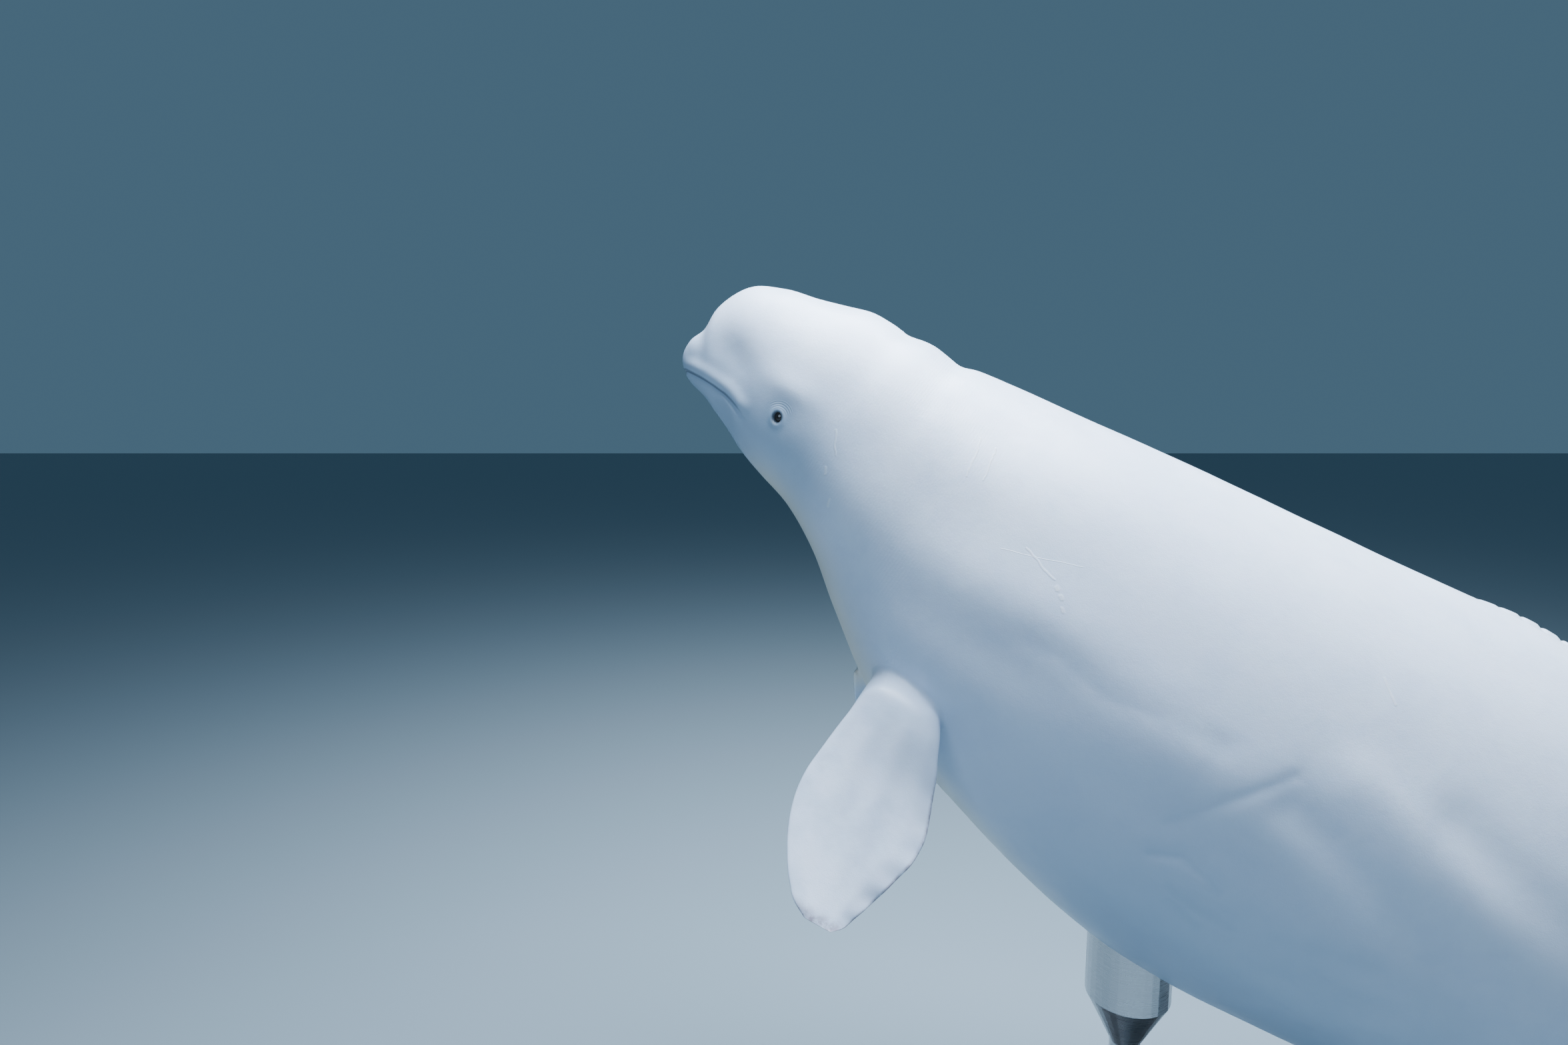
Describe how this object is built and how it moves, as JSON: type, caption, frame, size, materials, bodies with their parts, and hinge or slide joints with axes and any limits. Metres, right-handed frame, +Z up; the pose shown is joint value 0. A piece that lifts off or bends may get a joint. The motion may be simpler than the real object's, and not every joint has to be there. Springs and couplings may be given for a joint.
{
  "type": "beluga whale model",
  "caption": "Life-size still model of a white beluga whale swimming head-up, with melon, beak, paddle flippers and tail flukes, held over a flat plate by upright rods.",
  "frame": {"origin": "centre of the underside of the stand's base plate", "axes": "+Z up, +X from the whale's head towards its tail, +Y from its left side to its right side; the whale's left side faces -Y"},
  "size_m": [3.9842, 0.9726, 2.3207],
  "materials": {
    "skin": "smooth wet white skin with faint cross lines",
    "fin_skin": "smooth white skin, darker along the edges",
    "eye": "glossy dark eye",
    "stand_steel": "satin brushed rods",
    "stand_plate": "dark satin paint"
  },
  "bodies": {
    "root": {"head": "skin", "neck": "skin", "chest": "skin", "belly": "skin", "tail_stock": "skin", "fluke_left": "fin_skin", "fluke_right": "fin_skin", "flipper_left": "fin_skin", "flipper_right": "fin_skin", "eye_left": "eye", "eye_right": "eye", "stand_base": "stand_plate", "stand_rod_front": "stand_steel", "stand_rod_rear": "stand_steel"}
  },
  "joints": []
}
